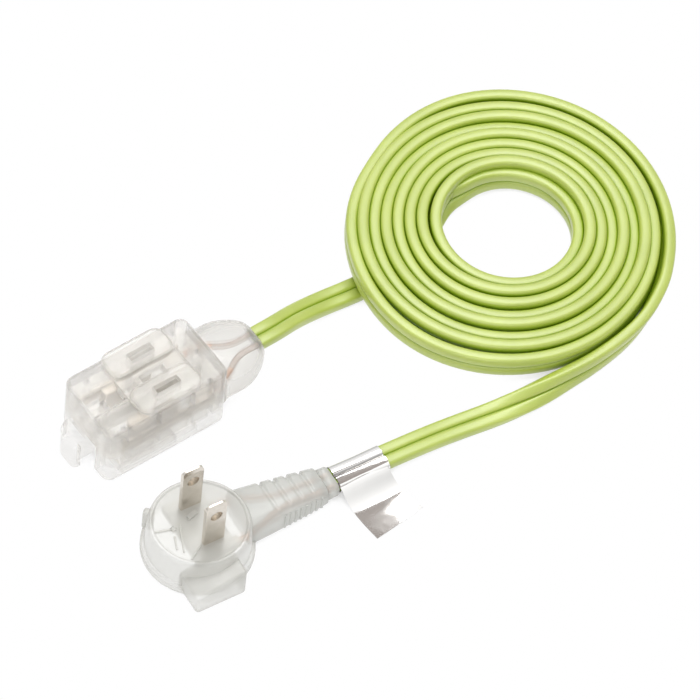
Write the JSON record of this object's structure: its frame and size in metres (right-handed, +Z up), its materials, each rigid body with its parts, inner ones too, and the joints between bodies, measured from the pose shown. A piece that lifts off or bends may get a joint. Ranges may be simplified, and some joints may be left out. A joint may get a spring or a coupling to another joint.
{
  "type": "extension cord",
  "caption": "Flat two-core extension cord, coiled on edge, with a clear outlet block that has sliding outlet covers and a hanging hook, and a round flat-back plug.",
  "frame": {"origin": "centre of the outlet block's own footprint, on the surface that it stands on", "axes": "+X along the outlet block toward its cord, +Z up, +Y to the far side of the block"},
  "size_m": [0.1948, 0.1072, 0.0298],
  "materials": {
    "clear_housing": "clear moulded polycarbonate",
    "frosted_plastic": "translucent flexible PVC",
    "cord_jacket": "semi-gloss flexible PVC, yellow-green",
    "nickel_blade": "nickel-plated brass",
    "brass_strip": "stamped brass",
    "copper_wire": "bare stranded copper",
    "insulating_board": "moulded plastic",
    "label_foil": "mirror foil film"
  },
  "bodies": {
    "root": {"upper_shell": "clear_housing", "lower_shell": "clear_housing", "outlet_boot": "clear_housing", "insulating_wall": "insulating_board", "contact_strip_far": "brass_strip", "contact_strip_near": "brass_strip", "outlet_crimp_far": "brass_strip", "outlet_crimp_near": "brass_strip", "outlet_conductor_far": "copper_wire", "outlet_conductor_near": "copper_wire", "blade_carrier": "insulating_board", "blade_far": "nickel_blade", "blade_near": "nickel_blade", "plug_crimp_far": "brass_strip", "plug_crimp_near": "brass_strip", "plug_conductor_far": "copper_wire", "plug_conductor_near": "copper_wire", "plug_body": "frosted_plastic", "plug_strain_relief": "frosted_plastic", "cord_lead": "cord_jacket", "cord_inner_twist": "cord_jacket", "cord_coil": "cord_jacket", "cord_outer_twist": "cord_jacket", "cord_tail": "cord_jacket", "foil_label": "label_foil"},
    "top_cover": {"top_cover": "clear_housing"},
    "bottom_cover": {"bottom_cover": "clear_housing"}
  },
  "joints": [
    {"name": "top_cover_slide", "type": "slide", "parent": "root", "child": "top_cover", "axis": [1, 0, 0], "range_m": [-0.0065, 0]},
    {"name": "bottom_cover_slide", "type": "slide", "parent": "root", "child": "bottom_cover", "axis": [1, 0, 0], "range_m": [0, 0.0065]}
  ]
}
